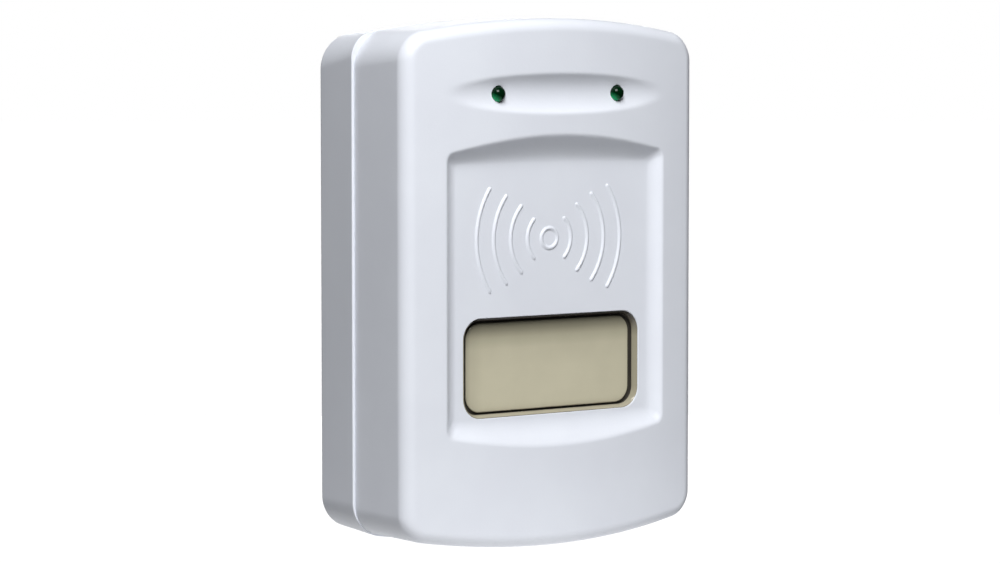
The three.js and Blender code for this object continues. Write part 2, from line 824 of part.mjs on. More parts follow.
function soundSource() {
  const group = new THREE.Group();
  const { y, backZ, mouthZ } = transducer;
  group.position.y = y;
  add(group, "transducer_case", transducerCase(), aluminium);
  add(group, "transducer_cone", transducerCone(), aluminium, [0, 0, mouthZ + 4.6]);
  add(group, "transducer_base", transducerBase(), black, [0, 0, backZ + gap]);
  add(group, "transducer_grommet", transducerGrommet(), black);
  add(group, "transducer_screen", upright(8.8, [-47, -46.6]), black);
  for (const [side, sign] of [["left", -1], ["right", 1]]) {
    const x = sign * 2.5;
    const route = [
      [x, 0, backZ + 3.9],
      [x, 0.6, backZ + 6],
      [x * 1.4, 4, backZ + 8],
      [x * 1.6, 7.5, backZ + 7],
      [x * 1.6, partY - y, backZ + 6.5],
    ];
    add(group, `transducer_wire_${side}`, wire(route, 0.5), redSleeve);
  }
  return group;
}

function plug() {
  const group = new THREE.Group();
  group.position.z = blade.z;
  add(group, "blade_line", plugBlade(), brass, [-blade.x, 0, 0]);
  add(group, "blade_neutral", plugBlade(), brass, [blade.x, 0, 0]);
  add(group, "blade_retainer", bladeRetainer(), offWhite);
  const made = screw({ head: 2, headHeight: 1, shank: 0.8, length: 4.2, direction: 1 });
  for (const [side, x] of [["left", -11], ["right", 11]]) {
    add(group, `retainer_screw_${side}`, made, steel, [x, -7.9, 0]);
  }
  return group;
}

function nightLightSwitch() {
  const group = new THREE.Group();
  add(group, "switch_case", switchCase(), black);
  add(group, "switch_slider", switchSlider(), white);
  return group;
}

root.add(
  housing(),
  nightLight(),
  indicators(),
  electronics(),
  soundSource(),
  plug(),
  nightLightSwitch(),
);

export default root;
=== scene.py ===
import math
from dataclasses import dataclass, replace

import bpy
import numpy as np
from mathutils import Matrix, Vector


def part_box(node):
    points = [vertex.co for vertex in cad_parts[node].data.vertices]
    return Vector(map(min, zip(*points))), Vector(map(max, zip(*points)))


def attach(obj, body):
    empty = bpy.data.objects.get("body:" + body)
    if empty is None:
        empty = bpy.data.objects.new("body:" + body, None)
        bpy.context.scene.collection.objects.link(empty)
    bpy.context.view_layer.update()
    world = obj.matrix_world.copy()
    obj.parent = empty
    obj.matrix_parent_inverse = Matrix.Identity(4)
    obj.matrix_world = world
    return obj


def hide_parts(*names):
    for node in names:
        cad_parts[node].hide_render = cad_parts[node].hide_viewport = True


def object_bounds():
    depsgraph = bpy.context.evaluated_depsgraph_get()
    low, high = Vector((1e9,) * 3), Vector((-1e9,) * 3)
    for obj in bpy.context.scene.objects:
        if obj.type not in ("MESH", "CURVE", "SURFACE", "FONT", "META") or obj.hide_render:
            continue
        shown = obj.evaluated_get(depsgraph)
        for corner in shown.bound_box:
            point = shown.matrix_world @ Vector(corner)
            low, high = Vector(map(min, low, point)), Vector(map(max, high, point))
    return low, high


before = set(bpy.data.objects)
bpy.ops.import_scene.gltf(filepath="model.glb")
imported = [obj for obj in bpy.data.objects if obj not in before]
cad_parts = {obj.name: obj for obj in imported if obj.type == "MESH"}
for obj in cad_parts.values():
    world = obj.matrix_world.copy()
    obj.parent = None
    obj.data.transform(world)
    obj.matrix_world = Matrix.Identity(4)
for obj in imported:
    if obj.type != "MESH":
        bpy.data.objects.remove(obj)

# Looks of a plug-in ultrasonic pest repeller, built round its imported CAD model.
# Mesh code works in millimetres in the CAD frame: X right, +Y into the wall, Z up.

MM = 0.001
CAD_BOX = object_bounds()


# ---- driving dimensions -------------------------------------------------------------------


def box_mm(node):
    """Lowest and highest corner of a CAD node, in millimetres."""
    low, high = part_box(node)
    return low / MM, high / MM


def middle(node):
    low, high = box_mm(node)
    return (low + high) / 2


@dataclass
class Outline:
    """Straight sides, arched top and bottom and rounded corners, seen from the front."""

    half_width: float
    top_corner: float
    bottom_corner: float
    top: float
    bottom: float
    top_curve: float = 0.0
    bottom_curve: float = 0.0

    def grown(self, by):
        return replace(
            self,
            half_width=self.half_width + by,
            top_corner=max(self.top_corner + by, 0.1),
            bottom_corner=max(self.bottom_corner + by, 0.1),
            top=self.top + by,
            bottom=self.bottom - by,
        )

    def turned(self, x, corner):
        """How far a corner's round has dropped from its edge at x."""
        beyond = np.clip(np.abs(x) - self.half_width + corner, 0, corner)
        return corner - np.sqrt(np.maximum(corner**2 - beyond**2, 0))

    def points(self, corner_steps=18, arch_steps=96, side_steps=80):
        """Its (x, z) points: along the top to the right, down, along the bottom and up."""
        corner = max(self.top_corner, self.bottom_corner)
        straight = self.half_width - corner
        turn = np.linspace(0, math.pi / 2, corner_steps + 1)
        left = -straight - corner * np.cos(turn)
        arch = np.linspace(-straight, straight, arch_steps + 1)[1:-1]
        x = np.concatenate([left, arch, -left[::-1]])
        top = self.top - self.top_curve * x * x - self.turned(x, self.top_corner)
        bottom = self.bottom + self.bottom_curve * x * x + self.turned(x, self.bottom_corner)
        upper = np.column_stack([x, top])
        lower = np.column_stack([x, bottom])[::-1]
        side = np.linspace(0, 1, side_steps + 1)[1:-1, None]
        right_side = upper[-1] + side * (lower[0] - upper[-1])
        left_side = lower[-1] + side * (upper[0] - lower[-1])
        return np.concatenate([upper, right_side, lower, left_side])


REAR_LOW, REAR_HIGH = box_mm("rear_shell")
FRONT_LOW, FRONT_HIGH = box_mm("front_shell")
LENS_LOW, LENS_HIGH = box_mm("window_lens")

ARCH = 3.4 / 35**2  # how fast the top and bottom edges fall away from the middle
FRONT = Outline(FRONT_HIGH.x, 5.0, 4.6, FRONT_HIGH.z, FRONT_LOW.z, ARCH, ARCH)
FRONT_SEAM = replace(FRONT, top_corner=6.2, bottom_corner=4.8)
REAR = Outline(REAR_HIGH.x, 6.4, 6.0, REAR_HIGH.z, REAR_LOW.z, ARCH, ARCH)
REAR_RIM = replace(REAR, top_corner=4.2, bottom_corner=5.8)
WALL = 2.0
GAP = 0.3
SEAM_Y = -12.5
PARTING = 0.06  # the hairline between the two shells
RIM_ROUND = 0.15
REAR_DRAFT = 0.7
REAR_ROUND = 1.0

FRONT_Y = FRONT_LOW.y
FRONT_RADIUS = 221  # the front face is part of a cylinder, convex across its width
FRONT_FILLET = 2.5
FRONT_THICKNESS = 2.2

FLOOR_Y = -28.8
FLOOR = Outline(24.3, 1.2, 1.2, 24.8, -27.4, 0.8 / 24.3**2, 0.6 / 24.3**2)
RECESS_RISE = 4.0
RECESS = Outline(28.3, 2.0, 2.0, 29.45, -32.05, 2.65 / 28.3**2, 1.45 / 28.3**2)
RECESS_EDGE = 0.4  # how softly the recess meets the front face
RECESS_COVE = 1.5  # and its own floor

LED_RADIUS = 1.5
LED_PLACES = {side: middle(f"led_{side}") for side in ("left", "right")}
LED_Z = LED_PLACES["left"].z
GROOVE = {"radius": 5.85, "y": -36.35, "z": LED_Z, "softness": 0.2}

FLANGE_GROW = 1.3
WINDOW_CORNER = 4.0
WINDOW = Outline(LENS_HIGH.x, 0, 0, LENS_HIGH.z, LENS_LOW.z).grown(-FLANGE_GROW)
WINDOW = replace(WINDOW, top_corner=WINDOW_CORNER, bottom_corner=WINDOW_CORNER)
WINDOW_Z = (WINDOW.top + WINDOW.bottom) / 2
PANE = Outline(19.6, 3.2, 3.2, WINDOW_Z + 8.65, WINDOW_Z - 8.5)

SLOT_COUNT, SLOT_PITCH, SLOT_WIDTH = 7, 2.6, 1.3
SLOT_Y = (-26.0, -14.8)
SLOT_FLARE = 0.15
SWITCH_OPENING_Z = (1.7, 7.8)

POST_FOOT_Y = -1.5  # where the rear shell's posts start, inside its back wall
POST = {"housing": 3.4, "board": 2.6, "retainer": 2.0}  # radius of each kind of post
PILOT = {"housing": 1.4, "panel": 1.15, "board": 1.2, "retainer": 1.1}  # and of its hole

HOUSING_SCREWS = [
    f"housing_screw_{end}_{side}" for end in ("upper", "lower") for side in ("left", "right")
]
BOARD_SCREWS = [
    f"board_screw_{end}_{side}" for end in ("upper", "lower") for side in ("left", "right")
]
PANEL_SCREWS = ["panel_screw_left", "panel_screw_right"]
RETAINER_SCREWS = ["retainer_screw_left", "retainer_screw_right"]
BLADES = ["blade_line", "blade_neutral"]
BLADE_WIDTH = 6.35
BLADE_HOLE_Y = 11.9


# ---- mesh helpers -------------------------------------------------------------------------
# A shape is a pair: an array of points in millimetres and a list of faces.


def merged(*shapes):
    points, faces, start = [], [], 0
    for shape_points, shape_faces in shapes:
        points.append(np.asarray(shape_points, float))
        faces += [[start + i for i in face] for face in shape_faces]
        start += len(shape_points)
    return np.concatenate(points), faces


def placed(shape, at=(0, 0, 0), turn=None):
    points = np.asarray(shape[0], float)
    if turn is not None:
        points = points @ np.array(turn.to_3x3()).T
    return points + np.array(at, float), shape[1]


# Turns for shapes made along Y: to run along X, and to look to the wall instead of the front.
ALONG_X = Matrix.Rotation(-math.pi / 2, 4, "Z")
TO_THE_WALL = Matrix.Rotation(math.pi, 4, "Z")


def ring(outline_points, y):
    x, z = outline_points.T
    return np.column_stack([x, np.broadcast_to(y, x.shape), z])


def loft(rings, closed=False):
    """The solid through rings of equal length that run towards the front, with flat ends.
    closed joins the last ring to the first instead, which makes a collar."""
    count = len(rings[0])
    around = np.arange(count)
    faces = []
    for r in range(len(rings) - (not closed)):
        near = (r + 1) % len(rings) * count
        for a, b in zip(around, np.roll(around, -1)):
            faces.append([r * count + a, near + a, near + b, r * count + b])
    if not closed:
        faces.append(list(around))
        faces.append(list((len(rings) - 1) * count + around[::-1]))
    return np.concatenate(rings), faces


def lathe(profile, steps=48):
    """A solid turned about Y from (radius, y) points that start and end on the axis,
    given from the wall side to the front."""
    angles = np.arange(steps) * 2 * math.pi / steps
    points = [(0, profile[0][1], 0)]
    for radius, y in profile[1:-1]:
        points += [(radius * math.sin(a), y, radius * math.cos(a)) for a in angles]
    points.append((0, profile[-1][1], 0))
    last = len(points) - 1
    faces = []
    for i in range(steps):
        j = (i + 1) % steps
        faces.append([0, 1 + i, 1 + j])
        for r in range(len(profile) - 3):
            base = 1 + r * steps
            faces.append([base + i, base + steps + i, base + steps + j, base + j])
        base = last - steps
        faces.append([base + i, last, base + j])
    return np.array(points, float), faces


def rod(radius, start, end, at=(0, 0), steps=40):
    """A plain cylinder along Y, at (x, z), used to cut and to join."""
    back, front = max(start, end), min(start, end)
    profile = [(0, back), (radius, back), (radius, front), (0, front)]
    return placed(lathe(profile, steps), (at[0], 0, at[1]))


def block(x, y, z):
    corners = [(i, j, k) for i in x for j in y for k in z]
    faces = [[0, 1, 3, 2], [4, 6, 7, 5], [0, 4, 5, 1], [2, 3, 7, 6], [0, 2, 6, 4], [1, 5, 7, 3]]
    return np.array(corners, float), faces


def prism(outline, low, high):
    """An outline of (y, z) points carried along X from low to high."""
    count = len(outline)
    points = [(x, y, z) for x in (low, high) for y, z in outline]
    faces = [[i, (i + 1) % count, count + (i + 1) % count, count + i] for i in range(count)]
    faces += [list(range(count))[::-1], [count + i for i in range(count)]]
    return np.array(points, float), faces


def sweep(path, section, scale):
    """A closed body along a path of (x, z) points on the recess floor. section is a row of
    (across, height) points and scale is how much of it is left at each point of the path."""
    path = np.asarray(path, float)
    along = np.gradient(path, axis=0)
    along /= np.linalg.norm(along, axis=1)[:, None]
    across = np.column_stack([along[:, 1], -along[:, 0]])
    rings = []
    for point, side, share in zip(path, across, scale):
        row = [(*(point + side * s * share), h * share) for s, h in section]
        rings.append([(x, FLOOR_Y - h, z) for x, z, h in row])
    return loft([np.array(r) for r in rings])


def make(name, shape):
    """A Blender object from a shape, with its faces turned outwards."""
    mesh = bpy.data.meshes.new(name)
    mesh.from_pydata((np.asarray(shape[0]) * MM).tolist(), [], shape[1])
    mesh.update()
    made = bpy.data.objects.new(name, mesh)
    bpy.context.scene.collection.objects.link(made)
    if signed_volume(mesh) < 0:
        mesh.flip_normals()
    return made


def signed_volume(mesh):
    mesh.calc_loop_triangles()
    points = np.array([v.co for v in mesh.vertices])
    a, b, c = (points[[t.vertices[i] for t in mesh.loop_triangles]] for i in range(3))
    return float(np.einsum("ij,ij->i", a, np.cross(b, c)).sum() / 6)


def bake_modifiers(made):
    """Replaces an object's mesh by what its modifiers make of it."""
    graph = bpy.context.evaluated_depsgraph_get()
    mesh = bpy.data.meshes.new_from_object(made.evaluated_get(graph))
    mesh.name = made.name
    made.modifiers.clear()
    made.data = mesh


def combine(made, shapes, operation):
    """Cuts shapes from an object, or joins them to it, and keeps the result as its mesh."""
    for shape in shapes:
        tool = make("tool", shape)
        step = made.modifiers.new(operation, "BOOLEAN")
        step.operation = operation
        step.solver = "EXACT"
        step.object = tool
        bake_modifiers(made)
        bpy.data.objects.remove(tool)


def smooth(made, angle=32):
    made.data.shade_smooth()
    made.data.set_sharp_from_angle(angle=math.radians(angle))


def soften(made, width, segments=2, angle=35):
    """Rounds an object's hard edges, then shades it smooth between them."""
    step = made.modifiers.new("rounded edges", "BEVEL")
    step.width = width * MM
    step.segments = segments
    step.limit_method = "ANGLE"
    step.angle_limit = math.radians(angle)
    step.harden_normals = False
    bake_modifiers(made)
    smooth(made)


def even_shading(made):
    """Keeps large flat faces flat where they meet rounded edges."""
    step = made.modifiers.new("even shading", "WEIGHTED_NORMAL")
    step.keep_sharp = True
    step.weight = 100


def finish_piece(made, material, slot, body, *nodes):
    """Gives a piece its material, its body and the CAD nodes it stands for. slot is not used."""
    made.data.materials.clear()
    for one in material if isinstance(material, list) else [material]:
        made.data.materials.append(one)
    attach(made, body)
    if nodes:
        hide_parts(*nodes)
    return made


# ---- materials ----------------------------------------------------------------------------


class Paint:
    """A node material with one Principled shader, and short ways to add detail to it."""

    def __init__(self, name, color, roughness, **values):
        self.material = bpy.data.materials.new(name)
        self.material.use_nodes = True
        self.nodes = self.material.node_tree.nodes
        self.links = self.material.node_tree.links
        self.shader = self.nodes["Principled BSDF"]
        self.set("Base Color", (*color, 1))
        self.set("Roughness", roughness)
        for socket, value in values.items():
            self.set(socket.replace("_", " "), value)
        self.place = self.nodes.new("ShaderNodeTexCoord").outputs["Object"]
        self.material.diffuse_color = (*color, 1)

    def set(self, socket, value):
        self.shader.inputs[socket].default_value = value

    def node(self, kind, inputs=(), **settings):
        made = self.nodes.new(kind)
        for key, value in settings.items():
            setattr(made, key, value)
        for socket, value in dict(inputs).items():
            if isinstance(value, bpy.types.NodeSocket):
                self.links.new(value, made.inputs[socket])
            else:
                made.inputs[socket].default_value = value
        return made

    def noise(self, size, detail=3.0, rough=0.5):
        """Cloudy noise from 0 to 1 whose lumps are about size millimetres across."""
        inputs = {"Vector": self.place, "Scale": 1 / (size * MM), "Detail": detail}
        inputs["Roughness"] = rough
        return self.node("ShaderNodeTexNoise", inputs).outputs["Fac"]

    def between(self, factor, low, high):
        """A factor of 0.3 to 0.7 spread over a range of values."""
        inputs = {"Value": factor, "From Min": 0.3, "From Max": 0.7, "To Min": low, "To Max": high}
        return self.node("ShaderNodeMapRange", inputs).outputs["Result"]

    def ramp(self, factor, *stops, interpolation="LINEAR"):
        """Colours by position along a factor. A stop is (position, (r, g, b))."""
        made = self.node("ShaderNodeValToRGB", {"Fac": factor})
        made.color_ramp.interpolation = interpolation
        elements = made.color_ramp.elements
        while len(elements) < len(stops):
            elements.new(0.5)
        for element, (position, color) in zip(elements, stops):
            element.position = position
            element.color = (*color, 1)
        return made.outputs["Color"]

    def color(self, output):
        self.links.new(output, self.shader.inputs["Base Color"])
        return self

    def times(self, one, other):
        """One colour multiplied by another."""
        made = self.node("ShaderNodeMix", data_type="RGBA", blend_type="MULTIPLY")
        made.inputs["Factor"].default_value = 1.0
        sockets = [socket for socket in made.inputs if socket.type == "RGBA"]
        self.links.new(one, sockets[0])
        self.links.new(other, sockets[1])
        return [socket for socket in made.outputs if socket.type == "RGBA"][0]

    def mottle(self, size, low, high):
        """Slow drift between two close colours."""
        return self.color(self.ramp(self.noise(size), (0.3, low), (0.7, high)))

    def uneven_gloss(self, size, low, high):
        self.links.new(self.between(self.noise(size), low, high), self.shader.inputs["Roughness"])
        return self

    def bump(self, *layers):
        """Relief from (height output, depth in millimetres) layers, one on the other."""
        normal = None
        for height, depth in layers:
            inputs = {"Height": height, "Distance": depth * MM, "Strength": 1.0}
            if normal is not None:
                inputs["Normal"] = normal
            normal = self.node("ShaderNodeBump", inputs).outputs["Normal"]
        self.links.new(normal, self.shader.inputs["Normal"])
        return self

    def math(self, operation, one, other=0.0):
        """One step of arithmetic on outputs or numbers."""
        return self.node("ShaderNodeMath", {0: one, 1: other}, operation=operation).outputs[0]

    def bands(self, direction, width):
        """Straight bands across X, Y or Z, repeating every width millimetres."""
        inputs = {"Vector": self.place, "Scale": math.pi / 10 / (width * MM)}
        made = self.node("ShaderNodeTexWave", inputs, bands_direction=direction)
        return made.outputs["Fac"]

    def axis(self, node, name):
        """Where a point lies across a CAD node's box, from 0 at its low side to 1."""
        low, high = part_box(node)
        index = "XYZ".index(name)
        parts = self.node("ShaderNodeSeparateXYZ", {"Vector": self.place})
        inputs = {"Value": parts.outputs[name], "From Min": low[index], "From Max": high[index]}
        return self.node("ShaderNodeMapRange", inputs).outputs["Result"]


def moulded_white(name, low, high, grain=0.012, gloss=(0.36, 0.46)):
    """Satin ABS: fine spark-eroded grain, a slow drift of tone and uneven gloss."""
    paint = Paint(name, high, gloss[0], Specular_IOR_Level=0.5)
    paint.mottle(14, low, high)
    paint.uneven_gloss(3.5, *gloss)
    return paint.bump((paint.noise(0.55, 2.0, 0.6), grain), (paint.noise(9, 1.0), 0.02)).material


def metal(name, color, gloss, brush=None, metallic=1.0):
    """Plated or bare metal with handling marks, brushed along one axis if brush is given."""
    darker = tuple(c * 0.82 for c in color)
    paint = Paint(name, color, gloss[0], Metallic=metallic).mottle(2.5, darker, color)
    paint.uneven_gloss(0.8, *gloss)
    if brush:
        return paint.bump((paint.bands(brush, 0.14), 0.0008), (paint.noise(2.4), 0.006)).material
    return paint.bump((paint.noise(0.5), 0.008)).material


def moulded(name, low, high, gloss, grain=0.01, size=0.4):
    """Any other moulded, cast or coated surface, with its own grain."""
    paint = Paint(name, high, gloss[0]).mottle(5, low, high).uneven_gloss(1.5, *gloss)
    return paint.bump((paint.noise(size), grain)).material


def lens_pane():
    """Glossy beige diffuser, deeper in tone towards its top and left edges: painted shadow of the
    opening's edges, and a painted highlight along its bottom edge.
    """
    paint = Paint("lens_pane", (0.50, 0.47, 0.35), 0.10, Coat_Weight=0.3, Coat_Roughness=0.03)
    tone = paint.ramp(paint.noise(6), (0.3, (0.555, 0.522, 0.390)), (0.7, (0.585, 0.550, 0.412)))
    # painted shade and light by height: the shadow of the opening's top edge darkens the pane
    # towards its top, and a painted highlight brightens it along its bottom edge
    down = paint.ramp(
        paint.axis("window_lens", "Z"),
        (0.085, (1.30, 1.24, 1.42)),
        (0.120, (1.02, 1.02, 1.02)),
        (0.48, (1, 1, 1)),
        (0.66, (0.93, 0.93, 0.93)),
        (0.76, (0.72, 0.72, 0.71)),
        (0.82, (0.46, 0.46, 0.45)),
        (0.90, (0.26, 0.26, 0.25)),
    )
    # painted shadow of the opening's left edge, darkening the pane towards its left
    along = paint.ramp(
        paint.axis("window_lens", "X"),
        (0.060, (0.62, 0.62, 0.62)),
        (0.085, (0.86, 0.86, 0.86)),
        (0.150, (0.98, 0.98, 0.98)),
        (0.300, (1, 1, 1)),
    )
    return paint.color(paint.times(paint.times(tone, down), along)).material


def lens_rim():
    """The sloping rim: beige at the sides and the foot, almost black under the top edge. This is
    painted shade where the rim faces down and painted light where it faces up.
    """
    paint = Paint("lens_rim", (0.30, 0.28, 0.20), 0.18)
    return paint.color(
        # painted light and shade by height: paler at the foot, near black under the top edge
        paint.ramp(
            paint.axis("window_lens", "Z"),
            (0.05, (0.400, 0.370, 0.280)),
            (0.14, (0.330, 0.305, 0.225)),
            (0.70, (0.300, 0.280, 0.205)),
            (0.86, (0.100, 0.088, 0.066)),
            (0.92, (0.016, 0.013, 0.011)),
        )
    ).material


def led_plastic(side):
    """Dark green dome with painted light: emerald painted at its lower left, where light from the
    upper right gathers, and near black above.
    """
    paint = Paint(f"led_green_{side}", (0.005, 0.05, 0.02), 0.05, Specular_IOR_Level=0.15)
    up, across = paint.axis(f"led_{side}", "Z"), paint.axis(f"led_{side}", "X")
    tilted = paint.math("ADD", up, paint.math("MULTIPLY", across, 0.6))
    # painted light: bright emerald low on the left, fading to near black higher up
    paint.color(
        paint.ramp(
            tilted,
            (0.24, (0.050, 0.760, 0.360)),
            (0.38, (0.006, 0.380, 0.130)),
            (0.50, (0.001, 0.100, 0.030)),
            (0.64, (0.0003, 0.012, 0.003)),
        )
    )
    return paint.bump((paint.noise(1.1), 0.01)).material


def circuit_board():
    """Green solder mask over faint copper tracks."""
    paint = Paint("board_green", (0.02, 0.16, 0.05), 0.35, Coat_Weight=0.4)
    cells = paint.node("ShaderNodeTexBrick", {"Vector": paint.place, "Scale": 260.0})
    cells.inputs["Mortar Size"].default_value = 0.03
    cells.inputs["Color1"].default_value = (0.020, 0.150, 0.045, 1)
    cells.inputs["Color2"].default_value = (0.026, 0.185, 0.055, 1)
    cells.inputs["Mortar"].default_value = (0.012, 0.105, 0.032, 1)
    paint.color(cells.outputs["Color"]).uneven_gloss(3, 0.28, 0.42)
    return paint.bump((cells.outputs["Fac"], 0.03)).material


def sleeve(name, node):
    """Shrink sleeve of a can, with its paler polarity stripe."""
    paint = Paint(name, (0.02, 0.04, 0.14), 0.3)
    dark, pale = (0.016, 0.034, 0.120), (0.50, 0.54, 0.60)
    stops = [(0.0, dark), (0.12, pale), (0.26, dark)]
    paint.color(paint.ramp(paint.axis(node, "X"), *stops, interpolation="CONSTANT"))
    return paint.uneven_gloss(2, 0.24, 0.38).bump((paint.noise(1.6), 0.02)).material


def banded(name, node, body, *bands):
    """A resistor's body with coloured bands along X."""
    paint = Paint(name, body, 0.4)
    stops = [(0.0, body)]
    for start, color in bands:
        stops += [(start, color), (start + 0.035, body)]
    paint.color(paint.ramp(paint.axis(node, "X"), *stops, interpolation="CONSTANT"))
    return paint.bump((paint.noise(0.9), 0.015)).material


def winding():
    """Enamelled copper wire, turn by turn along Z, with painted shade darkening the copper between
    the turns.
    """
    paint = Paint("winding_copper", (0.60, 0.26, 0.10), 0.3, Metallic=0.85)
    turns = paint.bands("Z", 0.28)
    # painted shade: the copper darkens in the creases between the turns
    paint.color(paint.ramp(turns, (0.1, (0.22, 0.08, 0.03)), (0.6, (0.66, 0.30, 0.12))))
    return paint.uneven_gloss(1.0, 0.24, 0.36).bump((turns, 0.06)).material


def open_weave():
    """Black dust cloth: two crossing sets of threads."""
    paint = Paint("screen_cloth", (0.02, 0.02, 0.02), 0.85, Sheen_Weight=0.3)
    one, other = paint.bands("X", 0.3), paint.bands("Y", 0.3)
    both = paint.math("MAXIMUM", one, other)
    paint.color(paint.ramp(both, (0.3, (0.004, 0.004, 0.004)), (0.9, (0.035, 0.035, 0.037))))
    return paint.bump((both, 0.06)).material


def blank_label():
    """Pale printed label with a thin border and no wording."""
    paint = Paint("label_paper", (0.66, 0.68, 0.70), 0.42)
    across, up = paint.axis("rating_label", "X"), paint.axis("rating_label", "Z")
    outside = []
    for position, margin in ((across, 0.028), (up, 0.052)):
        from_middle = paint.math("ABSOLUTE", paint.math("SUBTRACT", position, 0.5))
        outside.append(paint.math("SUBTRACT", from_middle, 0.5 - margin))
    from_line = paint.math("ABSOLUTE", paint.math("MAXIMUM", *outside))
    paper, ink = (0.66, 0.68, 0.70), (0.20, 0.21, 0.23)
    paint.color(paint.ramp(from_line, (0.0, ink), (0.007, paper), interpolation="CONSTANT"))
    return paint.uneven_gloss(4, 0.36, 0.5).bump((paint.noise(0.25), 0.004)).material


WHITE = moulded_white("housing_white", (0.745, 0.772, 0.840), (0.770, 0.800, 0.865))
SWITCH_WHITE = moulded_white("switch_white", (0.70, 0.72, 0.76), (0.74, 0.76, 0.80), 0.008)
INNER_WHITE = moulded_white(
    "inner_white", (0.66, 0.66, 0.67), (0.72, 0.72, 0.73), 0.02, (0.5, 0.62)
)
LENS_PANE = lens_pane()
LENS_RIM = lens_rim()
# painted shade: near black for the shade in the narrow groove round the lens pane
LENS_GROOVE = moulded(
    "lens_groove", (0.034, 0.030, 0.024), (0.048, 0.043, 0.034), (0.3, 0.5), 0.004
)
RUBBER = moulded(
    "gasket_black", (0.012, 0.012, 0.012), (0.020, 0.019, 0.018), (0.55, 0.7), 0.02
)
BEIGE = moulded(
    "panel_beige", (0.440, 0.410, 0.285), (0.475, 0.440, 0.310), (0.38, 0.46), 0.006, 0.8
)
STEEL = metal("screw_steel", (0.62, 0.63, 0.65), (0.24, 0.38))
BRASS = metal("blade_brass", (0.78, 0.60, 0.27), (0.26, 0.40), "Z", 0.85)
TIN = metal("lead_tin", (0.68, 0.69, 0.70), (0.3, 0.45))
ALUMINIUM = metal("transducer_aluminium", (0.70, 0.71, 0.72), (0.28, 0.4))
BLACK = moulded("component_black", (0.014, 0.014, 0.015), (0.024, 0.024, 0.026), (0.42, 0.58))
TAN = moulded("component_tan", (0.46, 0.33, 0.19), (0.54, 0.40, 0.24), (0.35, 0.5))
CERAMIC_BLUE = moulded(
    "ceramic_blue", (0.02, 0.10, 0.42), (0.03, 0.14, 0.52), (0.22, 0.34), 0.02, 1.2
)
FILM_YELLOW = moulded(
    "film_yellow", (0.62, 0.40, 0.04), (0.70, 0.47, 0.06), (0.3, 0.42), 0.015, 0.7
)
FERRITE = moulded(
    "ferrite_grey", (0.035, 0.035, 0.040), (0.055, 0.055, 0.060), (0.55, 0.7), 0.03, 0.5
)
RED_SLEEVE = moulded("wire_red", (0.34, 0.02, 0.015), (0.42, 0.03, 0.02), (0.3, 0.42), 0.01, 0.9)


# ---- housing ------------------------------------------------------------------------------


def soft_max(a, b, softness):
    """The larger of two, blended over a band where they nearly agree."""
    near = np.maximum(softness - np.abs(a - b), 0) / softness
    return np.maximum(a, b) + near**2 * softness / 4


def soft_min(a, b, softness):
    return -soft_max(-np.asarray(a), -np.asarray(b), softness)


def face_depth(x):
    return FRONT_Y + x * x / (2 * FRONT_RADIUS)


def front_surface(x, z):
    """Depth of the front face with the lamps' groove in it."""
    across = np.clip(np.abs(z - GROOVE["z"]) / GROOVE["radius"], 0, 1)
    groove = GROOVE["y"] + GROOVE["radius"] * np.sqrt(1 - across**2)
    return soft_max(face_depth(x), groove, GROOVE["softness"])


def front_skin_rings():
    """Rings up the side wall, round the front fillet, over the face and into the recess."""
    seam, side = FRONT_SEAM.points(), FRONT.points()
    start = SEAM_Y - PARTING
    rings = []
    for share in np.linspace(0, 1, 13):
        points = seam + share * (side - seam)
        top_of_wall = face_depth(points[:, 0]) + FRONT_FILLET
        rings.append(ring(points, start + share * (top_of_wall - start)))
    for turn in np.linspace(0, math.pi / 2, 17)[1:]:
        points = FRONT.grown(-FRONT_FILLET * (1 - math.cos(turn))).points()
        rings.append(ring(points, face_depth(points[:, 0]) + FRONT_FILLET * (1 - math.sin(turn))))

    floor, rise = FLOOR.points(), RECESS.points() - FLOOR.points()
    outside = FRONT.grown(-FRONT_FILLET).points()
    edge = floor + 1.3 * rise
    for share in np.linspace(0, 1, 61)[1:]:
        points = outside + share * (edge - outside)
        rings.append(ring(points, front_surface(*points.T)))
    for climb in np.arange(1.25, -0.65, -0.05):
        points = floor + climb * rise
        recess = soft_min(FLOOR_Y - RECESS_RISE * climb, FLOOR_Y, RECESS_COVE)
        rings.append(ring(points, soft_max(front_surface(*points.T), recess, RECESS_EDGE)))
    return rings


def plain_loft(*stages):
    """A coarse loft for cutting, from (outline, depth) stages."""
    return loft([ring(outline.points(8, 24, 1), depth) for outline, depth in stages])


def flared_hole(outline, surface, depth, flare):
    """Cuts an outline into a flat face that looks to the front, with a small chamfer."""
    return plain_loft(
        (outline, surface + depth),
        (outline, surface + flare),
        (outline.grown(flare), surface),
        (outline.grown(flare), surface - 1),
    )


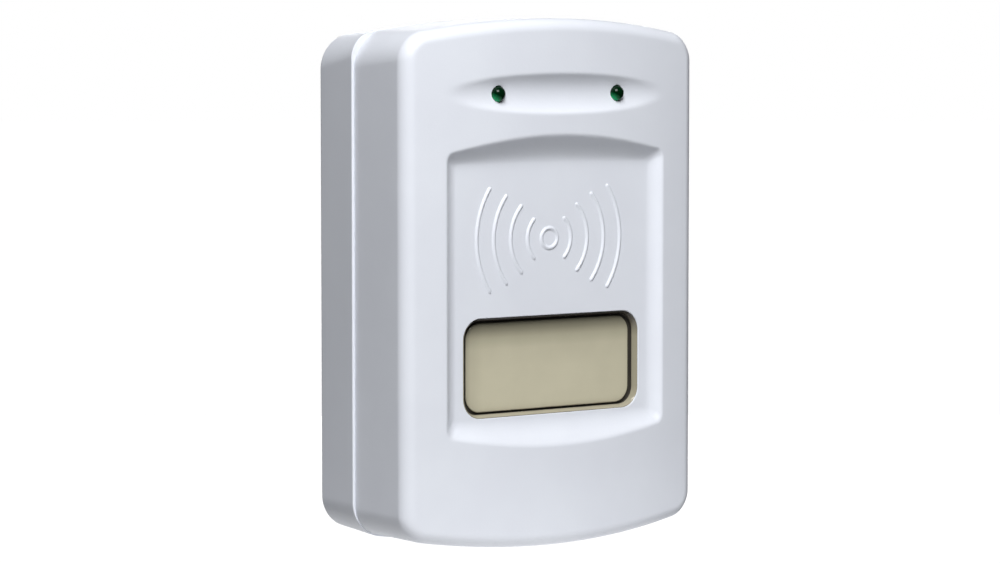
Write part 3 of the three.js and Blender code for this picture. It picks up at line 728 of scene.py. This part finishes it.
def front_shell():
    made = make("front_shell_skin", loft(front_skin_rings()))

    inside = FRONT.grown(-WALL)
    inner_y = FRONT_Y + FRONT_THICKNESS
    bulge = (FRONT_HIGH.x - WALL) ** 2 / (2 * FRONT_RADIUS)
    hollow = make("hollow", plain_loft((inside, SEAM_Y + 1), (inside, inner_y + bulge + 0.6)))
    behind_recess = block((-27.2, 27.2), (-40, FLOOR_Y + WALL), (-32.5, 29.8))
    behind_groove = block((-26.5, 26.5), (-40, -27.6), (30.5, 42.2))
    combine(hollow, [behind_recess, behind_groove], "DIFFERENCE")
    cavity = shape_of(hollow)
    bpy.data.objects.remove(hollow)
    combine(made, [cavity], "DIFFERENCE")

    posts, pilots = [], []
    for name in HOUSING_SCREWS:
        at = middle(name)
        posts.append(rod(3, -28.6, FRONT_HIGH.y, (at.x, at.z)))
        pilots.append(rod(PILOT["housing"], -18, -8, (at.x, at.z)))
    for name in PANEL_SCREWS:
        at = middle(name)
        posts.append(rod(2, -27, -25.2, (at.x, at.z)))
        pilots.append(rod(PILOT["panel"], -27.2, -25, (at.x, at.z)))
    for x in (-10.3, 10.3):  # two ribs that hold the sound source
        posts.append(block((x - 0.7, x + 0.7), (-28.9, -15), (-49.0, -40)))
    combine(made, [merged(*posts)], "UNION")

    fit, flare = LED_RADIUS + 0.04, LED_RADIUS + 0.2
    profile = [(0, -26), (fit, -26), (fit, -30.6), (flare, -30.8), (flare, -33), (0, -33)]
    lamp_hole = lathe(profile, 64)
    lamp_holes = [placed(lamp_hole, (at.x, 0, at.z)) for at in LED_PLACES.values()]
    window = flared_hole(WINDOW, FLOOR_Y, 3, 0.12)
    cutters = [*pilots, *lamp_holes, window, *sound_slots(), switch_opening()]
    combine(made, [merged(*cutters)], "DIFFERENCE")
    smooth(made, 28)
    even_shading(made)
    return finish_piece(made, WHITE, "housing_white", "housing", "front_shell")


def shape_of(made):
    points = np.array([v.co for v in made.data.vertices]) / MM
    return points, [list(p.vertices) for p in made.data.polygons]


def sound_slots():
    """Cutters through the bottom wall in front of the sound source, wider at the outside."""
    half, flare = SLOT_WIDTH / 2, SLOT_FLARE
    cutters = []
    for i in range(SLOT_COUNT):
        x = (i - (SLOT_COUNT - 1) / 2) * SLOT_PITCH
        surface = FRONT.bottom + ARCH * x * x
        split = surface + 0.25
        narrow = (x - half, x + half), SLOT_Y
        wide = (x - half - flare, x + half + flare), (SLOT_Y[0] - flare, SLOT_Y[1] + flare)
        cutters.append(
            tapered_block(
                (*narrow, surface + 3.2),
                (*narrow, split),
                (*wide, split - flare),
                (*wide, surface - 2),
            )
        )
    return cutters


def tapered_block(*rows):
    """A closed block through level rectangles, from the top down: (x span, y span, height)."""
    points = []
    for (x0, x1), (y0, y1), z in rows:
        points += [(x0, y0, z), (x1, y0, z), (x1, y1, z), (x0, y1, z)]
    last = len(points) - 1
    faces = [[0, 1, 2, 3], [last, last - 1, last - 2, last - 3]]
    for start in range(0, last - 3, 4):
        for i in range(4):
            j = (i + 1) % 4
            faces.append([start + i, start + 4 + i, start + 4 + j, start + j])
    return np.array(points, float), faces


def switch_opening():
    low, high = box_mm("switch_slider")
    return block((32, 36), (low.y - 0.4, high.y + 0.4), SWITCH_OPENING_Z)


def rear_shell():
    rounding = [
        (REAR_DRAFT + REAR_ROUND * (1 - math.sin(turn)), -REAR_ROUND * (1 - math.cos(turn)))
        for turn in np.linspace(0, math.pi / 2, 9)
    ]
    straight_end = SEAM_Y + RIM_ROUND
    wall = [
        (REAR_DRAFT * (1 - share), -REAR_ROUND + share * (straight_end + REAR_ROUND))
        for share in np.linspace(0, 1, 9)[1:]
    ]
    rim = [
        (RIM_ROUND * (1 - math.cos(turn)), straight_end - RIM_ROUND * math.sin(turn))
        for turn in np.linspace(0, math.pi / 2, 7)[1:]
    ]
    rings = []
    for inset, y in rounding + wall + rim:
        share = min(max((y + REAR_ROUND) / (straight_end + REAR_ROUND), 0), 1)
        points = (1 - share) * REAR.grown(-inset).points() + share * REAR_RIM.grown(-inset).points()
        rings.append(ring(points, y))
    made = make("rear_shell_skin", loft(rings))

    inside = plain_loft(
        (REAR.grown(-WALL - REAR_DRAFT), -WALL),
        (REAR.grown(-WALL), SEAM_Y - 1),
    )
    combine(made, [inside], "DIFFERENCE")

    tongue_out = FRONT.grown(-WALL - GAP)
    tongue_in = tongue_out.grown(-0.8)
    stages = [
        (REAR.grown(-WALL + 0.5), -12.2),
        (tongue_out, -12.2),
        (tongue_out, REAR_LOW.y),
        (tongue_in, REAR_LOW.y),
        (tongue_in, -8.9),
        (REAR.grown(-WALL + 0.5), -8.9),
    ]
    tongue = loft([ring(outline.points(8, 24, 1), y) for outline, y in stages], closed=True)
    posts, cutters = [], []
    well = lathe([(0, 1), (2.85, 1), (2.85, 0), (2.6, -0.25), (2.6, -6.5), (0, -6.5)])
    for name in HOUSING_SCREWS:
        at = middle(name)
        posts.append(rod(POST["housing"], -8.5, POST_FOOT_Y, (at.x, at.z)))
        cutters.append(placed(well, (at.x, 0, at.z)))
        cutters.append(rod(PILOT["housing"], -9, -6, (at.x, at.z)))
    for name in BOARD_SCREWS:
        at = middle(name)
        posts.append(rod(POST["board"], -8.0, POST_FOOT_Y, (at.x, at.z)))
        cutters.append(rod(PILOT["board"], -8.5, -3, (at.x, at.z)))
    for name in RETAINER_SCREWS:
        at = middle(name)
        posts.append(rod(POST["retainer"], -4.5, POST_FOOT_Y, (at.x, at.z)))
        cutters.append(rod(PILOT["retainer"], -5, -2.4, (at.x, at.z)))
    combine(made, [merged(*posts), tongue], "UNION")

    for name in BLADES:
        at = middle(name)
        low, high = box_mm(name)
        half_x = (high.x - low.x) / 2 + GAP
        half_z = BLADE_WIDTH / 2 + GAP
        slot = Outline(half_x, 0.3, 0.3, at.z + half_z, at.z - half_z)
        cutters.append(placed(flared_hole(slot, 0, 3, 0.2), (at.x, 0, 0), TO_THE_WALL))
    label = Outline(22, 1.2, 1.2, -10, -34)
    cutters.append(placed(flared_hole(label, 0, 0.8, 0.1), turn=TO_THE_WALL))
    combine(made, [merged(*cutters)], "DIFFERENCE")
    smooth(made, 28)
    even_shading(made)
    return finish_piece(made, WHITE, "housing_white", "housing", "rear_shell")


# ---- moulded mark -------------------------------------------------------------------------


def moulded_mark():
    """Raised line work on the recess floor: plain sound waves either side of a ring."""
    centre = np.array([-0.8, 8.6])
    flank = [(-0.62, -0.05), (-0.50, 0.0), (-0.36, 0.05), (-0.25, 0.17), (-0.12, 0.25), (0.0, 0.27)]
    section = flank + [(-across, height) for across, height in flank[-2::-1]]
    section = [(across, height) for across, height in section] + [(0.62, -0.15), (-0.62, -0.15)]
    waves = []
    for radius, spread in ((5.2, 50), (9.2, 46), (13.2, 41), (17.2, 36)):
        for side in (0, 180):
            turn = np.radians(np.linspace(side - spread, side + spread, 90))
            path = centre + radius * np.column_stack([np.cos(turn), np.sin(turn)])
            length = radius * math.radians(2 * spread)
            place = np.linspace(0, 1, 90) * length
            from_end = np.minimum(place, length - place)
            end = np.clip(from_end / 0.55, 0.02, 1)
            waves.append(sweep(path, section, np.sqrt(1 - (1 - end) ** 2)))
    turn = np.radians(np.arange(0, 360, 5))
    ring_path = centre + 1.9 * np.column_stack([np.cos(turn), np.sin(turn)])
    rings = []
    for point in ring_path:
        outward = (point - centre) / 1.9
        row = [point + outward * across for across, _ in section]
        rings.append(np.array([(p[0], FLOOR_Y - h, p[1]) for p, (_, h) in zip(row, section)]))
    waves.append(loft(rings, closed=True))
    made = make("moulded_mark", merged(*waves))
    smooth(made, 60)
    return finish_piece(made, WHITE, "housing_white", "housing")


# ---- night-light window -------------------------------------------------------------------


def window_lens():
    """A beige diffuser: a flat pane inside a sloping rim, with a groove between them painted
    near black as its shade, and a flange behind the shell."""
    fit = WINDOW.grown(-0.04)
    flange_y, groove_y, pane_y = -27.1, -27.02, -27.55
    stages = [
        (WINDOW.grown(FLANGE_GROW), LENS_HIGH.y),
        (WINDOW.grown(FLANGE_GROW), flange_y),
        (fit, flange_y),
        (fit, -28.62),
        (fit.grown(-0.03), -28.68),
        (fit.grown(-0.09), LENS_LOW.y),
        (fit.grown(-0.15), -28.66),
        (fit.grown(-0.54), -27.62),
        (fit.grown(-0.60), -27.50),
        (fit.grown(-0.60), groove_y),
        (PANE, groove_y),
        (PANE, -27.30),
        (PANE.grown(-0.04), -27.42),
        (PANE.grown(-0.14), -27.51),
        (PANE.grown(-0.30), pane_y),
        (PANE.grown(-1.2), pane_y),
    ]
    last_rim_row, last_groove_row = 7, 10
    rings = [ring(outline.points(14, 40, 20), y) for outline, y in stages]
    made = make("window_lens_skin", loft(rings))
    smooth(made, 50)
    finish_piece(made, [LENS_PANE, LENS_RIM, LENS_GROOVE], "lens_beige", "housing", "window_lens")
    count = len(rings[0])
    for face in made.data.polygons:
        row = min(face.vertices) // count
        if len(face.vertices) == 4 and row <= last_rim_row:
            face.material_index = 1
        elif len(face.vertices) == 4 and row <= last_groove_row:
            # the groove rows get the near-black painted shade
            face.material_index = 2
    return made


def panel_gasket():
    """Black seal round the panel, rounded where it meets the lens."""
    outside = WINDOW.grown(FLANGE_GROW)
    seat = WINDOW.grown(-0.5)
    stages = [
        (outside, -25.2),
        (outside, -25.85),
        (outside.grown(-0.15), -26.0),
        (seat.grown(0.15), -26.0),
        (seat, -25.85),
        (seat, -25.2),
    ]
    rings = [ring(outline.points(14, 40, 20), y) for outline, y in stages]
    made = make("panel_gasket_skin", loft(rings, closed=True))
    smooth(made, 35)
    return finish_piece(made, RUBBER, "gasket_black", "housing", "panel_gasket")


# ---- lamps --------------------------------------------------------------------------------


def lamp(side):
    """A 3 mm lamp: round dome, straight body and a round flange."""
    low, high = box_mm(f"led_{side}")
    dome = [
        (LED_RADIUS * math.sin(turn), low.y + LED_RADIUS * (1 - math.cos(turn)))
        for turn in np.linspace(math.pi / 2, 0, 13)[:-1]
    ]
    flange = (high.x - low.x) / 2
    foot = [
        (0, high.y),
        (flange - 0.1, high.y),
        (flange, high.y - 0.1),
        (flange, high.y - 0.9),
        (flange - 0.1, high.y - 1),
        (LED_RADIUS, high.y - 1),
    ]
    at = middle(f"led_{side}")
    made = make(f"led_{side}_skin", placed(lathe(foot + dome + [(0, low.y)], 56), (at.x, 0, at.z)))
    smooth(made, 35)
    return finish_piece(made, led_plastic(side), "led_green", "housing", f"led_{side}")


# ---- screws -------------------------------------------------------------------------------


def pan_screw(node, driven_from):
    """A pan-head screw with a cross recess and rolled threads. driven_from is the side its
    head is on: wall or front."""
    low, high = box_mm(node)
    head = (high.x - low.x) / 2
    length = high.y - low.y
    head_height = head * 0.66
    shank = head * 0.46
    crown = [
        (head * math.sin(turn), head_height * 0.75 * math.cos(turn))
        for turn in np.linspace(0.12, math.pi / 2, 9)
    ]
    top = head_height * 0.75
    profile = [(0, top)] + crown + [(head, top - head_height), (shank, top - head_height)]
    y = top - head_height - 0.2
    end = top - length
    while y - 0.8 > end + shank:
        profile += [(shank, y), (shank * 0.76, y - 0.25), (shank * 0.76, y - 0.5), (shank, y - 0.75)]
        y -= 0.8
    profile += [(shank * 0.8, end + shank * 0.8), (0, end)]
    made = make(f"{node}_skin", lathe(profile, 40))
    reach, half = head * 0.52, head * 0.115
    bars = [
        block((-reach, reach), (top - head_height * 0.6, top + 1), (-half, half)),
        block((-half, half), (top - head_height * 0.6, top + 1), (-reach, reach)),
    ]
    combine(made, bars, "DIFFERENCE")
    smooth(made, 40)
    turn = Matrix.Rotation(math.radians(17) + at_angle(node), 4, "Y")
    if driven_from == "front":
        turn = Matrix.Rotation(math.pi, 4, "Z") @ turn
    at = middle(node)
    base = high.y - top if driven_from == "wall" else low.y + top
    made.data.transform(Matrix.Translation(Vector((at.x, base, at.z)) * MM) @ turn)
    return finish_piece(made, STEEL, "screw_steel", "housing", node)


def at_angle(node):
    """A different rest angle for each screw, worked out from its name."""
    return sum(ord(letter) for letter in node) % 12 * math.radians(29)


# ---- plug ---------------------------------------------------------------------------------


def plug_blade(node):
    """A brass blade with a tapered tip, bevelled edges and a countersunk hole."""
    low, high = box_mm(node)
    at = middle(node)
    half, length, bevel = BLADE_WIDTH / 2, high.y, 1.2
    outline = [
        (low.y, -1.5),
        (-4.5, -1.5),
        (-4.5, -5),
        (-2.3, -5),
        (-2.3, -half),
        (length - bevel, -half),
        (length, -half + bevel),
        (length, half - bevel),
        (length - bevel, half),
        (-2.3, half),
        (-2.3, 5),
        (-4.5, 5),
        (-4.5, 1.5),
        (low.y, 1.5),
    ]
    thick = (high.x - low.x) / 2
    made = make(f"{node}_skin", prism(outline, -thick, thick))
    countersunk = [(0, 2), (1.9, 2), (1.9, 0.75), (1.6, 0.5)]
    countersunk += [(radius, -y) for radius, y in countersunk[::-1]]
    cutters = [placed(lathe(countersunk, 40), (0, BLADE_HOLE_Y, 0), ALONG_X)]
    for side in (-1, 1):
        edge, tip = side * 0.80, length + 0.1
        wedge = [(side * 0.35, tip), (edge, tip), (edge, length - 2.2)]
        points = [(x, y, z) for z in (-4, 4) for x, y in wedge]
        faces = [[0, 1, 2], [5, 4, 3], [0, 3, 4, 1], [1, 4, 5, 2], [2, 5, 3, 0]]
        cutters.append((np.array(points), faces))
    combine(made, cutters, "DIFFERENCE")
    soften(made, 0.12, 2, 30)
    made.data.transform(Matrix.Translation(Vector((at.x, 0, at.z)) * MM))
    even_shading(made)
    return finish_piece(made, BRASS, "blade_brass", "housing", node)


# ---- switch slider ------------------------------------------------------------------------


def switch_slider():
    """A slide button with three finger grooves and a wider foot inside the switch."""
    low, high = box_mm("switch_slider")
    stem_low, stem_high, foot_x = 2.0, 5.5, 29.6
    grip = []
    for z in np.linspace(stem_low, stem_high, 43):
        inside = min(z - stem_low, stem_high - z)
        wave = 0.5 - 0.5 * math.cos(2 * math.pi * (z - 2.25) / 1.0) if inside > 0.25 else 0
        grip.append((high.x - 0.32 * wave, z))
    outline = [
        (low.x, low.z),
        (foot_x, low.z),
        (foot_x, stem_low),
        *grip,
        (foot_x, stem_high),
        (foot_x, high.z),
        (low.x, high.z),
    ]
    upright = prism(outline, -high.y, -low.y)
    made = make("switch_slider_skin", placed(upright, turn=ALONG_X))
    soften(made, 0.16, 3, 40)
    even_shading(made)
    return finish_piece(made, SWITCH_WHITE, "switch_white", "slider", "switch_slider")


# ---- label --------------------------------------------------------------------------------


def rating_label():
    low, high = box_mm("rating_label")
    outline = Outline(high.x, 1.0, 1.0, high.z, low.z)
    shape = plain_loft((outline.grown(-0.03), high.y), (outline, high.y - 0.03), (outline, low.y))
    made = make("rating_label_skin", shape)
    smooth(made, 35)
    even_shading(made)
    return finish_piece(made, blank_label(), "label_paper", "housing", "rating_label")


# ---- carried-over CAD nodes ---------------------------------------------------------------


def dress_nodes():
    """Gives every CAD node that still shows its material and softened edges."""
    sides = ("left", "right")
    wires = [f"{kind}_{side}" for kind in ("panel_lead", "transducer_wire") for side in sides]
    leads = [f"led_{side}_{pole}" for side in sides for pole in ("anode", "cathode")]
    tan, brown, black = (0.50, 0.37, 0.22), (0.16, 0.05, 0.02), (0.01, 0.01, 0.01)
    red, gold = (0.50, 0.03, 0.02), (0.60, 0.42, 0.10)
    timing_bands = [(0.34, brown), (0.42, black), (0.50, red), (0.62, gold)]
    drive_bands = [(0.34, red), (0.42, red), (0.50, brown), (0.62, gold)]
    dressing = {
        "night_light_panel": (BEIGE, 0),
        "panel_retainer": (INNER_WHITE, 0.25),
        "blade_retainer": (INNER_WHITE, 0.25),
        "led_spacer_left": (INNER_WHITE, 0.1),
        "led_spacer_right": (INNER_WHITE, 0.1),
        "main_board": (circuit_board(), 0.08),
        "fuse": (TAN, 0.3),
        "varistor": (CERAMIC_BLUE, 0.7),
        "x2_capacitor": (FILM_YELLOW, 0.35),
        "filter_capacitor": (sleeve("filter_sleeve", "filter_capacitor"), 0.2),
        "output_capacitor": (sleeve("output_sleeve", "output_capacitor"), 0.2),
        "bridge_rectifier": (BLACK, 0.25),
        "oscillator_chip": (BLACK, 0.08),
        "drive_transistor": (BLACK, 0.1),
        "timing_resistor": (banded("timing_bands", "timing_resistor", tan, *timing_bands), 0),
        "drive_resistor": (banded("drive_bands", "drive_resistor", tan, *drive_bands), 0),
        "transformer_bobbin": (BLACK, 0.15),
        "transformer_winding": (winding(), 0.2),
        "transformer_core": (FERRITE, 0.2),
        "transducer_case": (ALUMINIUM, 0.12),
        "transducer_cone": (ALUMINIUM, 0),
        "transducer_base": (BLACK, 0.1),
        "transducer_grommet": (RUBBER, 0.25),
        "transducer_screen": (open_weave(), 0),
        "switch_case": (BLACK, 0.15),
        **{name: (RED_SLEEVE, 0) for name in wires},
        **{name: (TIN, 0) for name in leads},
    }
    for name, (material, rounding) in dressing.items():
        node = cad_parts[name]
        node.data.materials.clear()
        node.data.materials.append(material)
        node.data.shade_smooth()
        node.data.set_sharp_from_angle(angle=math.radians(32))
        if rounding:
            step = node.modifiers.new("rounded edges", "BEVEL")
            step.width = rounding * MM
            step.segments = 2
            step.limit_method = "ANGLE"
            step.angle_limit = math.radians(40)


# ---- floor, light and camera --------------------------------------------------------------


FLOOR_DROP = 0.10  # from the object's lowest point down to the floor
FLOOR_NEAR, FLOOR_FAR = 0.15, 1.2  # between these distances the floor pales to plain white
FLOOR_RADIUS, FLOOR_SIDES = 9, 96
FLOOR_GLOW = 0.95
AIR_BELOW, AIR_ABOVE = 0.05, 0.05  # strength of the soft light from below and from above
AIR_SPREAD = 0.6  # how far above and below the horizon one passes into the other
BACKDROP = 1.0


def floor():
    """A plain pale floor some way under the object, lit so that it runs into the backdrop."""
    paint = Paint("studio_floor", (0.9, 0.9, 0.9), 0.9)
    paint.mottle(400, (0.06, 0.06, 0.06), (0.07, 0.07, 0.07))
    paint.set("Emission Color", (FLOOR_GLOW, FLOOR_GLOW, FLOOR_GLOW + 0.005, 1))
    away = paint.node("ShaderNodeVectorMath", {0: paint.place}, operation="LENGTH").outputs["Value"]
    inputs = {"Value": away, "From Min": FLOOR_NEAR, "From Max": FLOOR_FAR}
    inputs |= {"To Min": 0.96, "To Max": BACKDROP / FLOOR_GLOW}
    glow = paint.node("ShaderNodeMapRange", inputs).outputs["Result"]
    paint.links.new(glow, paint.shader.inputs["Emission Strength"])
    mesh = bpy.data.meshes.new("studio_floor")
    height = CAD_BOX[0][2] - FLOOR_DROP
    turn = np.linspace(0, 2 * math.pi, FLOOR_SIDES + 1)[:-1]
    edge = [(FLOOR_RADIUS * math.cos(a), FLOOR_RADIUS * math.sin(a), height) for a in turn]
    mesh.from_pydata(edge, [], [list(range(FLOOR_SIDES))])
    made = bpy.data.objects.new("studio_floor", mesh)
    bpy.context.scene.collection.objects.link(made)
    mesh.materials.append(paint.material)
    made.visible_diffuse = False
    made.visible_glossy = False


SOFTBOXES = {
    # name: (azimuth, elevation, distance, size, watts); azimuth 0 is in front, left is negative
    "key": (-32, 46, 0.6, 0.30, 4.55),
    "low_left": (-62, -32, 0.35, 0.2, 0.115),
    "back": (145, 2, 1.1, 0.6, 4.6),
}
BOUNCES = {
    # name: (x, y, z, size, watts); each lies flat under the object and faces up
    "bounce_under": (0, 0.02, -0.09, 0.18, 0.060),
    "bounce_front": (0, -0.12, -0.09, 0.18, 0.062),
}


def direction(azimuth, elevation):
    a, e = math.radians(azimuth), math.radians(elevation)
    return Vector((math.sin(a) * math.cos(e), -math.cos(a) * math.cos(e), math.sin(e)))


def area_light(name, shape, size, watts, place, facing):
    """A light at a place that faces against a direction. The camera never sees it."""
    data = bpy.data.lights.new(name, "AREA")
    data.shape = shape
    data.size = size
    data.energy = watts
    made = bpy.data.objects.new(name, data)
    made.visible_camera = False
    made.location = place
    made.rotation_euler = facing.to_track_quat("Z", "Y").to_euler()
    bpy.context.scene.collection.objects.link(made)


def lights():
    for name, (azimuth, elevation, distance, size, watts) in SOFTBOXES.items():
        away = direction(azimuth, elevation)
        area_light(name, "SQUARE", size, watts, away * distance, away)
    for name, (x, y, z, size, watts) in BOUNCES.items():
        area_light(name, "DISK", size, watts, (x, y, z), Vector((0, 0, -1)))


def studio_air():
    """Soft light from all round. The camera sees plain white behind the object."""
    world = bpy.data.worlds.new("studio_air")
    world.use_nodes = True
    nodes, links = world.node_tree.nodes, world.node_tree.links
    nodes.clear()
    place = nodes.new("ShaderNodeTexCoord")
    parts = nodes.new("ShaderNodeSeparateXYZ")
    rise = nodes.new("ShaderNodeMapRange")
    rise.inputs["From Min"].default_value = -AIR_SPREAD
    rise.inputs["From Max"].default_value = AIR_SPREAD
    rise.inputs["To Min"].default_value = AIR_BELOW
    rise.inputs["To Max"].default_value = AIR_ABOVE
    lighting = nodes.new("ShaderNodeBackground")
    backdrop = nodes.new("ShaderNodeBackground")
    backdrop.inputs["Strength"].default_value = BACKDROP
    backdrop.inputs["Color"].default_value = (1, 1, 1, 1)
    path = nodes.new("ShaderNodeLightPath")
    mix = nodes.new("ShaderNodeMixShader")
    output = nodes.new("ShaderNodeOutputWorld")
    links.new(place.outputs["Generated"], parts.inputs["Vector"])
    links.new(parts.outputs["Z"], rise.inputs["Value"])
    links.new(rise.outputs["Result"], lighting.inputs["Strength"])
    links.new(path.outputs["Is Camera Ray"], mix.inputs[0])
    links.new(lighting.outputs[0], mix.inputs[1])
    links.new(backdrop.outputs[0], mix.inputs[2])
    links.new(mix.outputs[0], output.inputs["Surface"])
    bpy.context.scene.world = world


def camera():
    data = bpy.data.cameras.new("camera")
    data.sensor_width = 36
    data.lens = 117.6
    data.clip_start = 0.01
    data.clip_end = 50
    made = bpy.data.objects.new("camera", data)
    made.location = (-0.3790, -0.5287, 0.0437)
    yaw, pitch = math.radians(36.245), math.radians(3.968)
    made.rotation_euler = (math.pi / 2 - pitch, 0, -yaw)
    bpy.context.scene.collection.objects.link(made)
    bpy.context.scene.camera = made


# ---- assembly -----------------------------------------------------------------------------

bpy.context.scene.view_settings.view_transform = "Standard"

front_shell()
rear_shell()
moulded_mark()
window_lens()
panel_gasket()
for side in LED_PLACES:
    lamp(side)
for name in HOUSING_SCREWS + PANEL_SCREWS:
    pan_screw(name, "wall")
for name in BOARD_SCREWS + RETAINER_SCREWS:
    pan_screw(name, "front")
for name in BLADES:
    plug_blade(name)
switch_slider()
rating_label()
dress_nodes()
floor()
lights()
studio_air()
camera()
